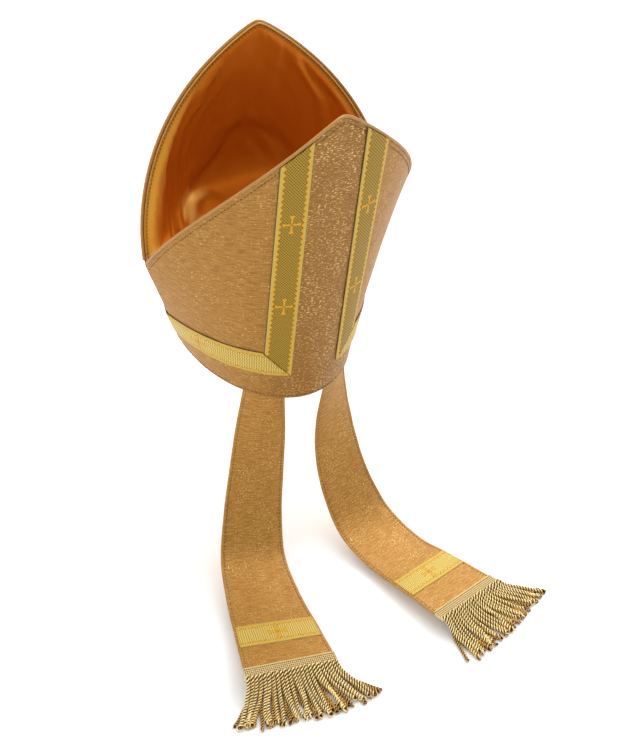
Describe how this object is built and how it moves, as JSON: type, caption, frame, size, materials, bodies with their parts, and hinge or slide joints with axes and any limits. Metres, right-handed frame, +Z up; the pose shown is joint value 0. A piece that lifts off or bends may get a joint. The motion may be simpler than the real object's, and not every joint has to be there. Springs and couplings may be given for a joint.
{
  "type": "bishop mitre",
  "caption": "Pointed two-panel bishop mitre with satin lining, woven galloon bands with crosses, and fringed lappets hanging from the back of the rim.",
  "frame": {"origin": "middle of the rim oval, where the mitre sits round a head", "axes": "+Z up, +Y towards the wearer's back, +X towards the wearer's left; the crown leans back 17 degrees about X"},
  "size_m": [0.3293, 0.4164, 0.4929],
  "materials": {
    "lame_cloth": "tan-gold lame with fine streaks and pale sparkles",
    "lappet_cloth": "the same lame with close pale speckles",
    "satin_lining": "soft orange satin",
    "edge_cloth": "copper-tan turned edge",
    "galloon": "olive-gold jacquard weave with orange-yellow crosses",
    "fringe_braid": "cream-gold woven heading",
    "fringe_cord": "twisted cream and brown-gold bullion"
  },
  "bodies": {
    "root": {"back_panel": "lame_cloth", "front_panel": "lame_cloth", "crown_lining": "satin_lining", "back_edge_piping": "edge_cloth", "front_edge_piping": "edge_cloth", "back_galloon_left": "galloon", "back_galloon_right": "galloon", "front_galloon_left": "galloon", "front_galloon_right": "galloon", "side_galloon_left": "galloon", "side_galloon_right": "galloon", "lappet_left": "lappet_cloth", "lappet_right": "lappet_cloth", "lappet_galloon_left": "galloon", "lappet_galloon_right": "galloon", "fringe_heading_left": "fringe_braid", "fringe_heading_right": "fringe_braid", "fringe_left": "fringe_cord", "fringe_right": "fringe_cord"}
  },
  "joints": []
}
